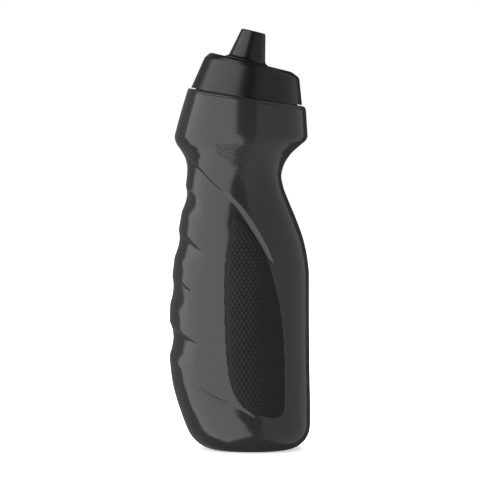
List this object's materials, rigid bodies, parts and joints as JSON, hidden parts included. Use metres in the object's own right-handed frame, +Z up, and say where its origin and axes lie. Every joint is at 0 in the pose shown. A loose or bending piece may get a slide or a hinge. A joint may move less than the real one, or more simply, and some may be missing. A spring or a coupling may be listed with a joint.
{
  "type": "sports squeeze bottle",
  "caption": "Squeezable drinking bottle with a pinched waist, finger grooves, soft grip panels, a leaning screw lid and a push-pull spout.",
  "frame": {"origin": "centre of the bounding box, on the plane the bottle stands on", "axes": "+Z up; +X towards the palm side, the way the lid's top slopes down; -X towards the finger grooves; grip panels face -Y and +Y; XZ is the mirror plane"},
  "size_m": [0.0784, 0.0714, 0.2337],
  "materials": {
    "body": "semi-gloss dark grey",
    "grip": "matte, fine raised hexagons",
    "lid": "satin black",
    "spout": "satin black",
    "seal": "soft matte grey"
  },
  "bodies": {
    "bottle": {"bottle_body": "body", "grip_panel_right": "grip", "grip_panel_left": "grip"},
    "lid_riser": {"lid_gasket": "seal"},
    "lid": {"lid": "lid", "closing_pin": "lid", "spout_o_ring": "seal"},
    "spout": {"spout": "spout"}
  },
  "joints": [
    {"name": "lid_lift", "type": "slide", "parent": "bottle", "child": "lid_riser", "axis": [0.1564, 0, 0.9877], "range_m": [0, 0.024]},
    {"name": "lid_turn", "type": "hinge", "parent": "lid_riser", "child": "lid", "pos_m": [0.0036, 0, 0.1956], "axis": [0.1564, 0, 0.9877], "range_deg": [0, 1440]},
    {"name": "spout_slide", "type": "slide", "parent": "lid", "child": "spout", "axis": [0.2334, 0, 0.9724], "range_m": [0, 0.006]}
  ],
  "couplings": [
    {"joint": "lid_lift", "follows": "lid_turn", "m_per_rad": 0.00095493}
  ]
}
